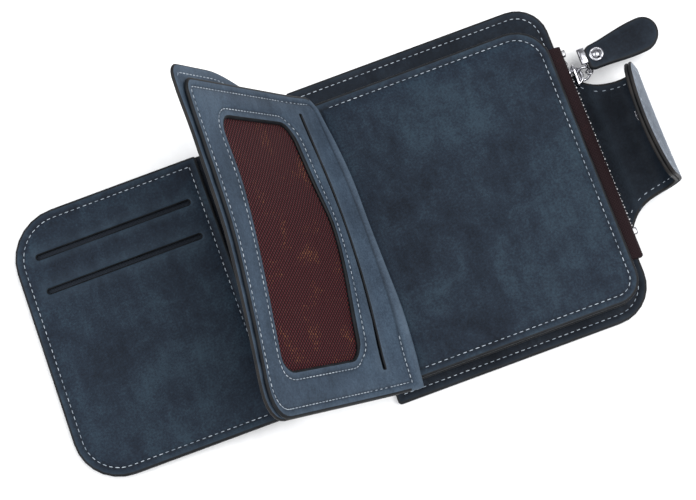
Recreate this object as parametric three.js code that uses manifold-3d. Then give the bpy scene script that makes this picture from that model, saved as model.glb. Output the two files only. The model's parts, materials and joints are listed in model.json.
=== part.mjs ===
// Trifold wallet, lying open: a main panel with a zipped coin pouch and a closing strap, a raised page with a
// mesh window, and a card flap joined to the main panel by a narrow spine strip.
// Units are millimetres. X runs along the opened wallet, Y up its height and Z up from the table.
// The origin is the middle of the main panel's underside.
import * as THREE from "three";
import Module from "manifold-3d";

const wasm = await Module();
wasm.setup();

// Main panel
const COVER = { left: -48.4, right: 48.5, bottom: -60, top: 60 };
const COVER_CORNERS = { topLeft: 1.2, topRight: 12, bottomRight: 14, bottomLeft: 1.2 };
const COVER_OUTER = [0, 1.2];
const COVER_BOARD = [1.4, 1.9];
const COVER_LINING = [2.1, 2.8];

// Bill compartment and coin pouch, stacked on the main panel
const POUCH = { left: -41.6, right: 44.5, bottom: -54.9, top: 49.3 };
const POUCH_CORNERS = { topLeft: 2, topRight: 13, bottomRight: 9, bottomLeft: 2 };
const BILL_GAP = [3.0, 7.3];
const POUCH_BACK = [7.5, 8.5];
const POUCH_ROOM = [8.7, 13.0];
const POUCH_FRONT = [13.2, 14.8];
const GUSSET_WALL = 2.2;

// Zipper along the right edge of the pouch
const ZIP_BOTTOM = -38.4;
const ZIP_TOP = 37.9;
const ZIP_X = 49.2;
const ZIP_Z = 9.85;
const TEETH_BOTTOM = -30.5;
const TEETH_PITCH = 2.3;
const TEETH_COUNT = 28;
const ROW_GAP = 0.9;
const SLIDER_Y = 27;

// Ring and leather pull
const RING_X = 53.55;
const RING_R = 2.1;
const RING_WIRE = 0.42;
const RING_TILT = 60;
const PULL_Z = 11.8;
const PULL_LAYER = 1.1;
const RIVET = { x: 61.2, y: 31.6 };

// Folds
const FOLD_Z = 2.4;
const COVER_FOLD_X = -48.7;
const SPINE_WIDTH = 19;
const FLAP_FOLD_X = COVER_FOLD_X - SPINE_WIDTH;
const PAGE_FOLD = { x: -39.5, z: 17 };
const PAGE_ANGLE = 60;

// Card flap
const FLAP = { left: -160.6, right: -70.2, bottom: -50.7, top: 49.4 };
const FLAP_CORNERS = { topLeft: 18.5, topRight: 1, bottomRight: 1, bottomLeft: 17 };
const FLAP_OUTER = [2.2, 3.1];
const FLAP_POCKETS = [3.3, 3.6];
const FLAP_FACING = [3.9, 5.2];
const FACING_RIGHT = -86.6;
const SLIT = { left: -152.2, length: 58.4, width: 1.6, upperY: 34.1, lowerY: 21 };

// Page, drawn flat: u runs from the fold to the free edge, w from the front face to the back one
const PAGE = { fold: 2.1, free: 87, bottom: -58.1, top: 49.3 };
const PAGE_CORNERS = { near: 3, far: 14 };
const PAGE_BACK = { free: 87.5, bottom: -60.1, top: 55.7 };
const WINDOW = { near: 23, far: 69.5, bottom: -44, top: 39, corner: 6 };
const PAGE_SLIT = { u: 15.3, bottom: -49, top: 44, width: 0.8 };
const PAGE_LAYERS = { front: [-1.5, -0.5], mesh: [-0.3, 0], pocket: [0.2, 0.4], back: [0.6, 1.5] };

// Closing strap, side profile: flat leg, round curl, straight tip
const STRAP_FOLD = { x: 53, z: 3.1 };
const STRAP_LEG = { angle: 14, length: 11 };
const CURL_R = 9;
const TIP = { angle: 116, length: 18 };
const STRAP_LAYER = 1.2;
const STRAP_GAP = 0.2;
const STRAP_Y = -0.5;
const STRAP_HALF = { root: 28.5, neck: 24.2, curl: 22, tip: 21 };
const CLOSE_STRAP = 64;
const SNAP_FROM_CURL = 12.5;
const SNAP_Y = 1;

const suede = (name, color) => material(name, color, 0.85, 0);
const MATERIALS = {
  outer: suede("outer_leather", 0x2b3b49),
  facing: suede("facing_leather", 0x33495a),
  page: suede("page_leather", 0x46586a),
  board: material("board", 0x6a6258, 0.9, 0),
  lining: material("lining_cloth", 0x1d222a, 0.95, 0),
  mesh: material("window_mesh", 0x4a1f1f, 0.9, 0),
  tape: material("zip_tape", 0x3f2223, 0.95, 0),
  metal: material("zip_metal", 0xb9b9bc, 0.3, 1),
  chrome: material("polished_metal", 0xd6d6d8, 0.15, 1),
};

const group = new THREE.Group();
group.name = "trifold_wallet";

function material(name, color, roughness, metalness) {
  const made = new THREE.MeshStandardMaterial({ color, roughness, metalness });
  made.name = name;
  return made;
}

function addPiece(name, geometry, surface) {
  const mesh = new THREE.Mesh(geometry, surface);
  mesh.name = name;
  group.add(mesh);
}

// Closed solids and their joining and cutting

function solidOf(geometry) {
  const flat = geometry.index ? geometry.toNonIndexed() : geometry;
  const points = flat.getAttribute("position");
  const seen = new Map();
  const vertices = [];
  const corners = [];
  for (let i = 0; i < points.count; i++) {
    const p = [points.getX(i), points.getY(i), points.getZ(i)];
    const key = p.map((n) => Math.round(n * 1e4)).join();
    if (!seen.has(key)) {
      seen.set(key, seen.size);
      vertices.push(...p);
    }
    corners.push(seen.get(key));
  }
  return new wasm.Manifold(
    new wasm.Mesh({
      numProp: 3,
      vertProperties: new Float32Array(vertices),
      triVerts: new Uint32Array(corners),
    }),
  );
}

function geometryOf(solid) {
  const mesh = solid.getMesh();
  const geometry = new THREE.BufferGeometry();
  geometry.setAttribute("position", new THREE.BufferAttribute(mesh.vertProperties, 3));
  geometry.setIndex(new THREE.BufferAttribute(mesh.triVerts, 1));
  return geometry;
}

function joined(...geometries) {
  return geometryOf(geometries.map(solidOf).reduce((a, b) => a.add(b)));
}

function cut(geometry, ...tools) {
  return geometryOf(tools.map(solidOf).reduce((a, b) => a.subtract(b), solidOf(geometry)));
}

// Outlines

function roundedRect({ left, right, bottom, top }, { topLeft, topRight, bottomRight, bottomLeft }) {
  const shape = new THREE.Shape();
  const quarter = Math.PI / 2;
  shape.absarc(right - topRight, top - topRight, topRight, 0, quarter, false);
  shape.absarc(left + topLeft, top - topLeft, topLeft, quarter, 2 * quarter, false);
  shape.absarc(left + bottomLeft, bottom + bottomLeft, bottomLeft, 2 * quarter, 3 * quarter, false);
  shape.absarc(right - bottomRight, bottom + bottomRight, bottomRight, 3 * quarter, 4 * quarter, false);
  shape.closePath();
  return shape;
}

function inset({ left, right, bottom, top }, by) {
  return { left: left + by, right: right - by, bottom: bottom + by, top: top - by };
}

function insetCorners(corners, by) {
  return Object.fromEntries(Object.entries(corners).map(([k, r]) => [k, Math.max(r - by, 0.6)]));
}

function plate(shape, [low, high], segments = 8) {
  const geometry = new THREE.ExtrudeGeometry(shape, {
    depth: high - low,
    bevelEnabled: false,
    curveSegments: segments,
  });
  return geometry.translate(0, 0, low);
}

function box([x0, x1], [y0, y1], [z0, z1]) {
  const geometry = new THREE.BoxGeometry(x1 - x0, y1 - y0, z1 - z0);
  return geometry.translate((x0 + x1) / 2, (y0 + y1) / 2, (z0 + z1) / 2);
}

function slot(left, length, y, width, [low, high]) {
  const bounds = { left, right: left + length, bottom: y - width / 2, top: y + width / 2 };
  const r = width / 2 - 0.01;
  const corners = { topLeft: r, topRight: r, bottomRight: r, bottomLeft: r };
  return plate(roundedRect(bounds, corners), [low, high], 4);
}

// A profile drawn in X and Z, run along Y.
function runAlongY(profile, bottom, top) {
  const shape = new THREE.Shape(profile.map(([x, z]) => new THREE.Vector2(x, -z)));
  const geometry = new THREE.ExtrudeGeometry(shape, { depth: top - bottom, bevelEnabled: false });
  return geometry.rotateX(-Math.PI / 2).translate(0, bottom, 0);
}

// Main panel, bill compartment and pouch

function addCover() {
  addPiece("cover_outer", plate(roundedRect(COVER, COVER_CORNERS), COVER_OUTER), MATERIALS.outer);
  const board = { ...inset(COVER, 5), right: 38 };
  const boardCorners = { topLeft: 3, topRight: 8, bottomRight: 9, bottomLeft: 3 };
  addPiece("cover_board", plate(roundedRect(board, boardCorners), COVER_BOARD), MATERIALS.board);
  const lining = roundedRect(inset(COVER, 0.4), insetCorners(COVER_CORNERS, 0.4));
  addPiece("cover_lining", plate(lining, COVER_LINING), MATERIALS.facing);
}

function ringOf(bounds, corners, wall, span) {
  const outside = plate(roundedRect(bounds, corners), span);
  const inside = roundedRect(inset(bounds, wall), insetCorners(corners, wall));
  return [outside, plate(inside, [span[0] - 1, span[1] + 1])];
}

function addBillGusset() {
  const [outside, inside] = ringOf(POUCH, POUCH_CORNERS, GUSSET_WALL, BILL_GAP);
  const mouth = box([POUCH.left + GUSSET_WALL, POUCH.right + 5], [POUCH.top - 14, POUCH.top + 5], [0, 12]);
  addPiece("bill_gusset", cut(outside, inside, mouth), MATERIALS.lining);
}

function addPouch() {
  const outline = roundedRect(POUCH, POUCH_CORNERS);
  addPiece("pouch_back", plate(outline, POUCH_BACK), MATERIALS.facing);
  const [outside, inside] = ringOf(POUCH, POUCH_CORNERS, GUSSET_WALL, POUCH_ROOM);
  const mouth = box([POUCH.right - 8, POUCH.right + 5], [ZIP_BOTTOM - 0.4, ZIP_TOP + 0.4], [0, 20]);
  addPiece("pouch_gusset", cut(outside, inside, mouth), MATERIALS.outer);
  addPiece("pouch_front", plate(outline, POUCH_FRONT), MATERIALS.facing);
}

// The leather leaf that carries the page's fold up beside the pouch.
function addHingeLeaf() {
  const profile = [
    [-45.2, 3],
    [-44.2, 3],
    [-44.2, 13.6],
    [-42, 13.6],
    [-42, 14.8],
    [-45.2, 14.8],
  ];
  addPiece("hinge_leaf", runAlongY(profile, POUCH.bottom, POUCH.top), MATERIALS.page);
}

// Zipper

// Each tape is a thin strip seen end on: flat beside the pouch leather, then turned in to its row of teeth.
function tapeProfile(flat, side) {
  const thick = 0.4;
  const edge = ZIP_Z + side * 1.2;
  const shoulder = ZIP_Z + side * 2;
  return [
    [39.5, flat],
    [45.2, flat],
    [48.6, shoulder - side * 0.2],
    [49.0, edge + side * 0.2],
    [49.0, edge],
    [49.4, edge],
    [49.4, edge + side * 0.4],
    [48.9, shoulder + side * 0.2],
    [45.2, flat + side * thick],
    [39.5, flat + side * thick],
  ];
}

function addTapes() {
  addPiece("zip_tape_upper", runAlongY(tapeProfile(12.5, 1), ZIP_BOTTOM, ZIP_TOP), MATERIALS.tape);
  const lower = tapeProfile(9.1, -1).reverse();
  addPiece("zip_tape_lower", runAlongY(lower, ZIP_BOTTOM, ZIP_TOP), MATERIALS.tape);
}

function teethRow(side) {
  const spanZ = (near, far) => (side > 0 ? [ZIP_Z + near, ZIP_Z + far] : [ZIP_Z - far, ZIP_Z - near]);
  const top = TEETH_BOTTOM + TEETH_PITCH * TEETH_COUNT;
  const parts = [box([48.7, 49.7], [TEETH_BOTTOM, top], spanZ(0.75, 1.1))];
  const shift = side > 0 ? 0 : TEETH_PITCH / 2;
  for (let i = 0; i < TEETH_COUNT; i++) {
    const y = TEETH_BOTTOM + shift + TEETH_PITCH * i;
    parts.push(box([48.3, 50.1], [y, y + TEETH_PITCH * 0.5], spanZ(ROW_GAP / 2, 0.9)));
  }
  return joined(...parts);
}

function addTeeth() {
  addPiece("zip_teeth_upper", teethRow(1), MATERIALS.metal);
  addPiece("zip_teeth_lower", teethRow(-1), MATERIALS.metal);
  const top = TEETH_BOTTOM + TEETH_PITCH * TEETH_COUNT + 0.4;
  for (const [name, side] of [["upper", 1], ["lower", -1]]) {
    const span = side > 0 ? [ZIP_Z + 0.3, ZIP_Z + 1.1] : [ZIP_Z - 1.1, ZIP_Z - 0.3];
    addPiece("zip_stop_" + name, box([48.3, 50.1], [top + 0.9, top + 3], span), MATERIALS.metal);
  }
  const end = box([48.1, 50.3], [TEETH_BOTTOM - 2.8, TEETH_BOTTOM - 0.4], [ZIP_Z - 1.1, ZIP_Z + 1.1]);
  addPiece("zip_end_stop", end, MATERIALS.metal);
}

function addSlider() {
  const tall = [ZIP_Z - 1.9, ZIP_Z + 1.9];
  const plateShape = new THREE.Shape();
  plateShape.moveTo(SLIDER_Y - 4, -2.4);
  plateShape.lineTo(SLIDER_Y + 2, -3.2);
  plateShape.lineTo(SLIDER_Y + 4, -2.2);
  plateShape.lineTo(SLIDER_Y + 4, 2.2);
  plateShape.lineTo(SLIDER_Y + 2, 3.2);
  plateShape.lineTo(SLIDER_Y - 4, 2.4);
  plateShape.closePath();
  const outer = new THREE.ExtrudeGeometry(plateShape, { depth: 0.5, bevelEnabled: false });
  const toZip = new THREE.Matrix4().makeBasis(
    new THREE.Vector3(0, 1, 0),
    new THREE.Vector3(0, 0, 1),
    new THREE.Vector3(1, 0, 0),
  );
  outer.applyMatrix4(toZip).translate(50.3, 0, ZIP_Z);
  const inner = box([46.9, 47.7], [SLIDER_Y - 4, SLIDER_Y + 4], [tall[0] + 0.7, tall[1] - 0.7]);
  const web = box([47.2, 50.6], [SLIDER_Y + 1.6, SLIDER_Y + 3.8], [ZIP_Z - 0.15, ZIP_Z + 0.15]);
  const posts = [-2.95, 2.35].map((y) =>
    box([50.6, 52.7], [SLIDER_Y + y, SLIDER_Y + y + 0.6], [ZIP_Z - 0.5, ZIP_Z + 0.5]),
  );
  const bar = box([52.1, 52.8], [SLIDER_Y - 2.95, SLIDER_Y + 2.95], [ZIP_Z - 0.5, ZIP_Z + 0.5]);
  addPiece("zip_slider", joined(outer, inner, web, ...posts, bar), MATERIALS.metal);
}

// Pull: a ring through the slider's bail, a metal clip with an eye, and a two-layer leather tab on a rivet

function addRing() {
  const ring = new THREE.TorusGeometry(RING_R, RING_WIRE, 8, 24);
  ring.rotateX(THREE.MathUtils.degToRad(RING_TILT)).translate(RING_X, SLIDER_Y, ZIP_Z);
  addPiece("pull_ring", ring, MATERIALS.chrome);
}

function addPull() {
  const eye = new THREE.TorusGeometry(1.15, 0.36, 8, 18);
  eye.rotateX(THREE.MathUtils.degToRad(RING_TILT - 90)).translate(RING_X + RING_R + 0.2, SLIDER_Y, ZIP_Z);
  const neck = box([56.7, 58.2], [SLIDER_Y - 0.6, SLIDER_Y + 0.6], [ZIP_Z - 0.5, ZIP_Z + 0.5]);
  const bar = box([57.2, 58.2], [SLIDER_Y - 0.6, SLIDER_Y + 10], [ZIP_Z - 0.5, PULL_Z + 1.3]);
  addPiece("pull_clip", joined(eye, neck, bar), MATERIALS.chrome);
  for (const [name, low] of [["lower", PULL_Z - 1.2], ["upper", PULL_Z + 0.1]]) {
    const tab = plate(pullOutline(), [low, low + PULL_LAYER], 10);
    const hole = new THREE.CylinderGeometry(1.1, 1.1, 4, 16).rotateX(Math.PI / 2);
    hole.translate(RIVET.x, RIVET.y, PULL_Z);
    addPiece("pull_leather_" + name, cut(tab, hole), MATERIALS.outer);
  }
  addPiece("pull_rivet", rivet().translate(RIVET.x, RIVET.y, PULL_Z), MATERIALS.chrome);
}

function pullOutline() {
  const shape = new THREE.Shape();
  shape.moveTo(58.6, 28.6);
  shape.lineTo(60.4, 27.4);
  shape.lineTo(79.4, 27.3);
  shape.absarc(79.4, 33.9, 6.6, -Math.PI / 2, Math.PI / 2, false);
  shape.lineTo(60.4, 37.2);
  shape.lineTo(58.6, 36.2);
  shape.closePath();
  return shape;
}

function rivet() {
  const profile = [
    [0, -1.9],
    [1.9, -1.9],
    [2, -1.45],
    [0.8, -1.45],
    [0.8, 1.45],
    [2.3, 1.45],
    [2.1, 1.9],
    [1.3, 2.4],
    [0, 2.6],
  ];
  const turned = new THREE.LatheGeometry(profile.map(([r, h]) => new THREE.Vector2(r, h)), 20);
  return turned.rotateX(Math.PI / 2);
}

// Spine strip and card flap

function addSpine() {
  const bounds = { left: FLAP_FOLD_X + 0.5, right: COVER_FOLD_X - 0.9, bottom: FLAP.bottom, top: FLAP.top };
  const corners = { topLeft: 0.8, topRight: 0.8, bottomRight: 0.8, bottomLeft: 0.8 };
  const outline = roundedRect(bounds, corners);
  addPiece("spine_outer", plate(outline, [2.2, 3.1], 3), MATERIALS.outer);
  addPiece("spine_lining", plate(outline, [3.3, 4.2], 3), MATERIALS.facing);
}

function addFlap() {
  addPiece("flap_outer", plate(roundedRect(FLAP, FLAP_CORNERS), FLAP_OUTER), MATERIALS.outer);
  const middle = (SLIT.upperY + SLIT.lowerY) / 2;
  for (const [name, bottom, top] of [
    ["upper", middle + 0.2, 46],
    ["lower", -46, middle - 0.2],
  ]) {
    const pocket = { left: -156, right: -90, bottom, top };
    const corners = { topLeft: 14, topRight: 1, bottomRight: 1, bottomLeft: 1 };
    if (name === "lower") Object.assign(corners, { topLeft: 1, bottomLeft: 14 });
    addPiece("card_pocket_" + name, plate(roundedRect(pocket, corners), FLAP_POCKETS), MATERIALS.lining);
  }
  const slits = [SLIT.upperY, SLIT.lowerY].map((y) => slot(SLIT.left, SLIT.length, y, SLIT.width, [0, 9]));
  const facing = roundedRect({ ...FLAP, right: FACING_RIGHT }, FLAP_CORNERS);
  addPiece("flap_facing", cut(plate(facing, FLAP_FACING), ...slits), MATERIALS.facing);
}

// Where the snap of the closed strap meets the flap, carried back to the open flap.
function socketX() {
  const turn = THREE.MathUtils.degToRad(CLOSE_STRAP);
  const curlEnd = strapPath().curlEnd;
  const arm = new THREE.Vector2(curlEnd.x - STRAP_FOLD.x, curlEnd.y - STRAP_FOLD.z);
  arm.rotateAround(new THREE.Vector2(), turn);
  const closed = STRAP_FOLD.x + arm.x - SNAP_FROM_CURL;
  return FLAP_FOLD_X - (closed - COVER_FOLD_X);
}

function addSocket() {
  const profile = [
    [2.3, 0.5],
    [4.2, 0.5],
    [4.9, 0.9],
    [5, 2],
    [2.3, 2],
    [2.3, 0.5],
  ];
  const turned = new THREE.LatheGeometry(profile.map(([r, h]) => new THREE.Vector2(r, h)), 28);
  addPiece("snap_socket", turned.rotateX(Math.PI / 2).translate(socketX(), SNAP_Y, 0), MATERIALS.chrome);
}

// Page

// Turns a piece drawn flat, u to the right and w upwards from the front face, into the raised page.
function raised(geometry) {
  const angle = THREE.MathUtils.degToRad(PAGE_ANGLE);
  const along = new THREE.Vector3(-Math.cos(angle), 0, Math.sin(angle));
  const back = new THREE.Vector3(-Math.sin(angle), 0, -Math.cos(angle));
  const frame = new THREE.Matrix4().makeBasis(along, new THREE.Vector3(0, 1, 0), back);
  frame.setPosition(PAGE_FOLD.x, 0, PAGE_FOLD.z);
  return geometry.applyMatrix4(frame);
}

function pageOutline({ free, bottom, top }) {
  const { near, far } = PAGE_CORNERS;
  const corners = { topLeft: near, topRight: far, bottomRight: far, bottomLeft: near };
  return roundedRect({ left: PAGE.fold, right: free, bottom, top }, corners);
}

function addPage() {
  const { near, far, bottom, top, corner } = WINDOW;
  const corners = { topLeft: corner, topRight: corner, bottomRight: corner, bottomLeft: corner };
  const opening = roundedRect({ left: near, right: far, bottom, top }, corners);
  const front = plate(pageOutline(PAGE), PAGE_LAYERS.front);
  const slitSize = PAGE_SLIT.top - PAGE_SLIT.bottom;
  const slit = slot(PAGE_SLIT.bottom, slitSize, -PAGE_SLIT.u, PAGE_SLIT.width, [-9, 9]).rotateZ(Math.PI / 2);
  addPiece("page_front", raised(cut(front, plate(opening, [-9, 9]), slit)), MATERIALS.page);
  const cloth = { left: near - 4, right: far + 4, bottom: bottom - 4, top: top + 4 };
  addPiece("window_mesh", raised(plate(roundedRect(cloth, corners), PAGE_LAYERS.mesh)), MATERIALS.mesh);
  const pocket = { left: near - 8, right: far + 8, bottom: bottom - 8, top: top + 5 };
  addPiece("page_pocket", raised(plate(roundedRect(pocket, corners), PAGE_LAYERS.pocket)), MATERIALS.lining);
  addPiece("page_back", raised(plate(pageOutline(PAGE_BACK), PAGE_LAYERS.back)), MATERIALS.outer);
}

function addPageRoll() {
  const roll = new THREE.CylinderGeometry(1.6, 1.6, PAGE.top - PAGE.bottom - 4, 16);
  roll.translate(PAGE_FOLD.x, (PAGE.top + PAGE.bottom) / 2, PAGE_FOLD.z);
  addPiece("page_roll", roll, MATERIALS.page);
}

// Strap

// The strap's middle line seen from the side, in two runs: leg with curl, then the straight tip.
function strapPath() {
  const legAngle = THREE.MathUtils.degToRad(STRAP_LEG.angle);
  const tipAngle = THREE.MathUtils.degToRad(TIP.angle);
  const from = (p, angle, distance) =>
    new THREE.Vector2(p.x + distance * Math.cos(angle), p.y + distance * Math.sin(angle));
  const fold = new THREE.Vector2(STRAP_FOLD.x, STRAP_FOLD.z);
  const leg = [from(fold, legAngle, 1), from(fold, legAngle, STRAP_LEG.length)];
  const centre = from(leg[1], legAngle + Math.PI / 2, CURL_R);
  const steps = 9;
  for (let i = 1; i <= steps; i++) {
    const angle = legAngle - Math.PI / 2 + ((tipAngle - legAngle) * i) / steps;
    leg.push(from(centre, angle, CURL_R));
  }
  const curlEnd = leg.at(-1);
  leg[leg.length - 1] = from(curlEnd, tipAngle, -0.4);
  const tip = [from(curlEnd, tipAngle, 0.4), from(curlEnd, tipAngle, TIP.length)];
  return { leg, tip, curlEnd };
}

// A layer of the given path, between two distances from its middle line (positive is the inner face).
function strapLayer(path, near, far, halfStart, halfEnd, corner) {
  const side = (distance) =>
    path.map((p, i) => {
      const a = path[Math.max(i - 1, 0)];
      const b = path[Math.min(i + 1, path.length - 1)];
      const along = b.clone().sub(a).normalize();
      return [p.x - along.y * distance, p.y + along.x * distance];
    });
  const profile = [...side(near), ...side(far).reverse()];
  const length = path.slice(1).reduce((sum, p, i) => sum + p.distanceTo(path[i]), 0);
  const band = runAlongY(profile, STRAP_Y - halfStart - 1, STRAP_Y + halfStart + 1);
  return cut(band, ...sideCuts(path, length, halfStart, halfEnd, corner));
}

// Wedges that narrow the band from its start to its end, and blunt the end corners.
function sideCuts(path, length, halfStart, halfEnd, corner) {
  const xs = path.map((p) => p.x);
  const zs = path.map((p) => p.y);
  const low = new THREE.Vector2(Math.min(...xs) - 3, Math.min(...zs) - 3);
  const high = new THREE.Vector2(Math.max(...xs) + 3, Math.max(...zs) + 3);
  return [1, -1].map((side) => {
    const shape = new THREE.Shape();
    shape.moveTo(low.y, side * halfStart);
    shape.lineTo(high.y - 3 - corner, side * halfEnd);
    shape.lineTo(high.y, side * (halfEnd - corner));
    shape.lineTo(high.y, side * 40);
    shape.lineTo(low.y, side * 40);
    shape.closePath();
    const wedge = new THREE.ExtrudeGeometry(shape, { depth: high.x - low.x, bevelEnabled: false });
    const upright = new THREE.Matrix4().makeBasis(
      new THREE.Vector3(0, 0, 1),
      new THREE.Vector3(0, 1, 0),
      new THREE.Vector3(-1, 0, 0),
    );
    return wedge.applyMatrix4(upright).translate(high.x, STRAP_Y, 0);
  });
}

function addStrap() {
  const { leg, tip } = strapPath();
  const inner = [STRAP_GAP / 2, STRAP_GAP / 2 + STRAP_LAYER];
  const outer = [-inner[1], -inner[0]];
  const { neck, curl, tip: end } = STRAP_HALF;
  for (const [name, layer, surface] of [
    ["outer", outer, MATERIALS.outer],
    ["lining", inner, MATERIALS.outer],
  ]) {
    addPiece("strap_leg_" + name, strapLayer(leg, ...layer, neck, curl, 0), surface);
    addPiece("strap_tip_" + name, strapLayer(tip, ...layer, curl, end, 4), surface);
  }
  addPiece("strap_root", strapRoot(), MATERIALS.outer);
}

// The root is skived to a tongue between the panel's outer leather and its lining.
function strapRoot() {
  const { root, neck } = STRAP_HALF;
  const tongue = box([39, 49.2], [STRAP_Y - root, STRAP_Y + root], [1.4, 1.9]);
  const shape = new THREE.Shape();
  shape.moveTo(48.9, -root);
  shape.quadraticCurveTo(50.6, -neck - 0.6, 52.4, -neck);
  shape.lineTo(52.4, neck);
  shape.quadraticCurveTo(50.6, neck + 0.6, 48.9, root);
  shape.closePath();
  const flare = plate(shape, [1.0, 3.6], 4).translate(0, STRAP_Y, 0);
  return joined(tongue, flare);
}

function addStud() {
  const tipAngle = THREE.MathUtils.degToRad(TIP.angle);
  const { curlEnd } = strapPath();
  const face = STRAP_GAP / 2 + STRAP_LAYER + 0.05;
  const profile = [
    [0, 0],
    [2.1, 0],
    [2.1, 0.3],
    [1.5, 0.5],
    [1.5, 0.8],
    [1.9, 1.1],
    [1.8, 1.4],
    [1.2, 1.55],
    [0, 1.55],
  ];
  const stud = new THREE.LatheGeometry(profile.map(([r, h]) => new THREE.Vector2(r, h)), 20);
  const normal = new THREE.Vector3(-Math.sin(tipAngle), 0, Math.cos(tipAngle));
  stud.applyQuaternion(new THREE.Quaternion().setFromUnitVectors(new THREE.Vector3(0, 1, 0), normal));
  stud.translate(
    curlEnd.x + SNAP_FROM_CURL * Math.cos(tipAngle) + face * normal.x,
    SNAP_Y,
    curlEnd.y + SNAP_FROM_CURL * Math.sin(tipAngle) + face * normal.z,
  );
  addPiece("snap_stud", stud, MATERIALS.chrome);
}

addCover();
addBillGusset();
addPouch();
addHingeLeaf();
addTapes();
addTeeth();
addSlider();
addRing();
addPull();
addSpine();
addFlap();
addSocket();
addPageRoll();
addPage();
addStrap();
addStud();

export default group;
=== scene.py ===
# Trifold wallet, lying open: nubuck-finish leather panels with painted edges and sewn seams, a raised page
# with a mesh window, a zipped coin pouch and a curled snap strap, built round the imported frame.
import json
import math

import bmesh
import bpy
from mathutils import Matrix, Vector, geometry, noise

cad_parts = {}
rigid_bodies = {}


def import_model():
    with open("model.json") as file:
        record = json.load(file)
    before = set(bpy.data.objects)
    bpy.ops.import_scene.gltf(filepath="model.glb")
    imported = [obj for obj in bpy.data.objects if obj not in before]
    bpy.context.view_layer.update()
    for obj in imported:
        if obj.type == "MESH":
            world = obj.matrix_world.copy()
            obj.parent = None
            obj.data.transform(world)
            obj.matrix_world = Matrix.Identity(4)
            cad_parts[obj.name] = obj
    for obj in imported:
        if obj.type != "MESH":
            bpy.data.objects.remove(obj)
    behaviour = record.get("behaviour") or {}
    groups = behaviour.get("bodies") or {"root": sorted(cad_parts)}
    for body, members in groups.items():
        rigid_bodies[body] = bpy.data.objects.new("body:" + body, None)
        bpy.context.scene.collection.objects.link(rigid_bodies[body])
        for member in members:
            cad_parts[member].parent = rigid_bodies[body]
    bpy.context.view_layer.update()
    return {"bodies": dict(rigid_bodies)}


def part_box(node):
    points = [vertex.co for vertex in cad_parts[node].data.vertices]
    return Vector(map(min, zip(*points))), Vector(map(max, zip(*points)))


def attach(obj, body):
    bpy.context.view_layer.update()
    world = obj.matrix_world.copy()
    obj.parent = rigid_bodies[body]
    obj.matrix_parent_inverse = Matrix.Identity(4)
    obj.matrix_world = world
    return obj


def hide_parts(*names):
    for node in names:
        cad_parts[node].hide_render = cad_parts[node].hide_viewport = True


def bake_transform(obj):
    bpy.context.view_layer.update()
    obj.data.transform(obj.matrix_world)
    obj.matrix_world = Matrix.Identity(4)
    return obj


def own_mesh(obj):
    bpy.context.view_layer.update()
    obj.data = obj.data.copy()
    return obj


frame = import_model()
MM = 0.001


def even(left, right, bottom, top, radius):
    """The outline of a rounded rectangle whose four corners are alike."""
    return (left, right, bottom, top), (radius,) * 4


# Outlines, in millimetres, are ((left, right, bottom, top), four corner radii), and the radii run
# anticlockwise from the top right corner.
COVER = ((-48.4, 48.5, -60, 60), (12, 1.2, 1.2, 14))
POUCH = ((-41.6, 44.5, -54.9, 49.3), (13, 2, 2, 9))
FLAP = ((-160.6, -70.2, -50.7, 49.4), (1, 18.5, 17, 1))
FACING_RIGHT = -86.6
SPINE = even(-67.2, -49.6, -50.7, 49.4, 0.8)
PAGE = ((0.4, 86.4, -58.5, 50.9), (5, 7, 0.9, 14))
PAGE_BACK = ((6, 89, -58.3, 55.9), (4.5, 3, 3, 14))
WINDOW = even(23, 69.5, -44, 39, 6)
PAGE_SLIT = even(15.1, 15.5, -49, 43.6, 0.19)
SLIT_HEIGHTS, SLIT_HALF_WIDTH = (34.1, 21), 0.8
SLITS = [even(-152.2, -93.8, y - SLIT_HALF_WIDTH, y + SLIT_HALF_WIDTH, 0.79) for y in SLIT_HEIGHTS]
TAB = ((56.1, 83.6, 26.35, 38.75), (6.1, 2.6, 2.6, 6.1))
RIVET = (59.9, 31.4)

# The under and upper face of each layer, in millimetres above the table.
COVER_SHELL, COVER_FACING = (0.0, 1.35), (1.45, 2.8)
POUCH_BACK, POUCH_FRONT = (7.4, 8.6), (13.15, 14.8)
SPINE_OUTER, SPINE_LINING = (2.2, 3.15), (3.25, 4.2)
FLAP_OUTER, FLAP_POCKET, FLAP_FACING = (2.2, 3.15), (3.3, 3.6), (3.75, 5.2)

# Seams: where they run, the groove the thread pulls in the leather, the stitches, and how wide the worn rim of
# a panel and the shade along a seam are.
SEAM_INSET, FLAP_SEAM_INSET = 3.0, 3.2
GROOVE_DEPTH, GROOVE_WIDTH = 0.22, 0.55
STITCH_PITCH, PAGE_PITCH, STRAP_PITCH = 2.3, 1.95, 2.8
STITCH_LENGTH, STITCH_THICKNESS, STITCH_DIP = 1.5, 0.36, 0.2
STITCH_GAP = 0.02
WORN_RIM, SHADED_SEAM = 2.2, 0.5

# Zipper
ZIP_X, ZIP_Z = 49.2, 9.85
ZIP_BOTTOM, ZIP_TOP = -38.4, 37.9
TEETH_BOTTOM, TEETH_PITCH, TEETH_COUNT = -30.5, 2.3, 28
SLIDER_Y = 27.0

# Strap: seen from the side it leaves the panel, rises at 14 degrees, curls over and ends in a straight tip.
STRAP_Y = -0.5
STRAP_FOLD = (53.0, 3.1)
STRAP_LEG, STRAP_LEG_ANGLE = 9.8, 14.0
CURL_RADIUS, TIP_ANGLE, TIP_LENGTH = 9.0, 110.0, 18.0
STRAP_HALF_WIDTH = 22.0
SNAP_FROM_CURL, SNAP_Y = 12.5, 2.5

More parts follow.
